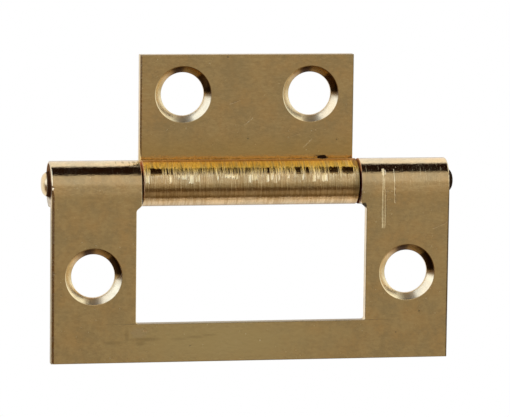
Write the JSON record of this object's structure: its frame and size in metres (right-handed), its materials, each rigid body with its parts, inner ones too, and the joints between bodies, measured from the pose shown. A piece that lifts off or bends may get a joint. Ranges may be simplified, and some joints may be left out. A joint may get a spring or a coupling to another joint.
{
  "type": "flush hinge",
  "caption": "Flush hinge of brass-finished sheet metal: a short leaf swings on a pin and nests in the window of a wider frame leaf.",
  "frame": {"origin": "centre of the short leaf's back face, level with its screw holes", "axes": "+X along the pin to the right as seen from the countersunk side, +Y out of the leaves' backs into what the hinge is screwed to, +Z from the frame leaf to the short leaf; the hinge stands open flat"},
  "size_m": [0.0518, 0.0057, 0.0377],
  "materials": {
    "frame_leaf_brass": "bright rolled brass, lightly scratched",
    "short_leaf_brass": "bright rolled brass, lightly scratched",
    "hinge_pin_brass": "bright brass"
  },
  "bodies": {
    "short_leaf_body": {"short_leaf": "short_leaf_brass"},
    "frame_leaf_body": {"frame_leaf": "frame_leaf_brass", "hinge_pin": "hinge_pin_brass"}
  },
  "joints": [
    {"name": "pin_hinge", "type": "hinge", "parent": "short_leaf_body", "child": "frame_leaf_body", "pos_m": [0, -0.00285, -0.0108], "axis": [1, 0, 0], "continuous": true}
  ]
}
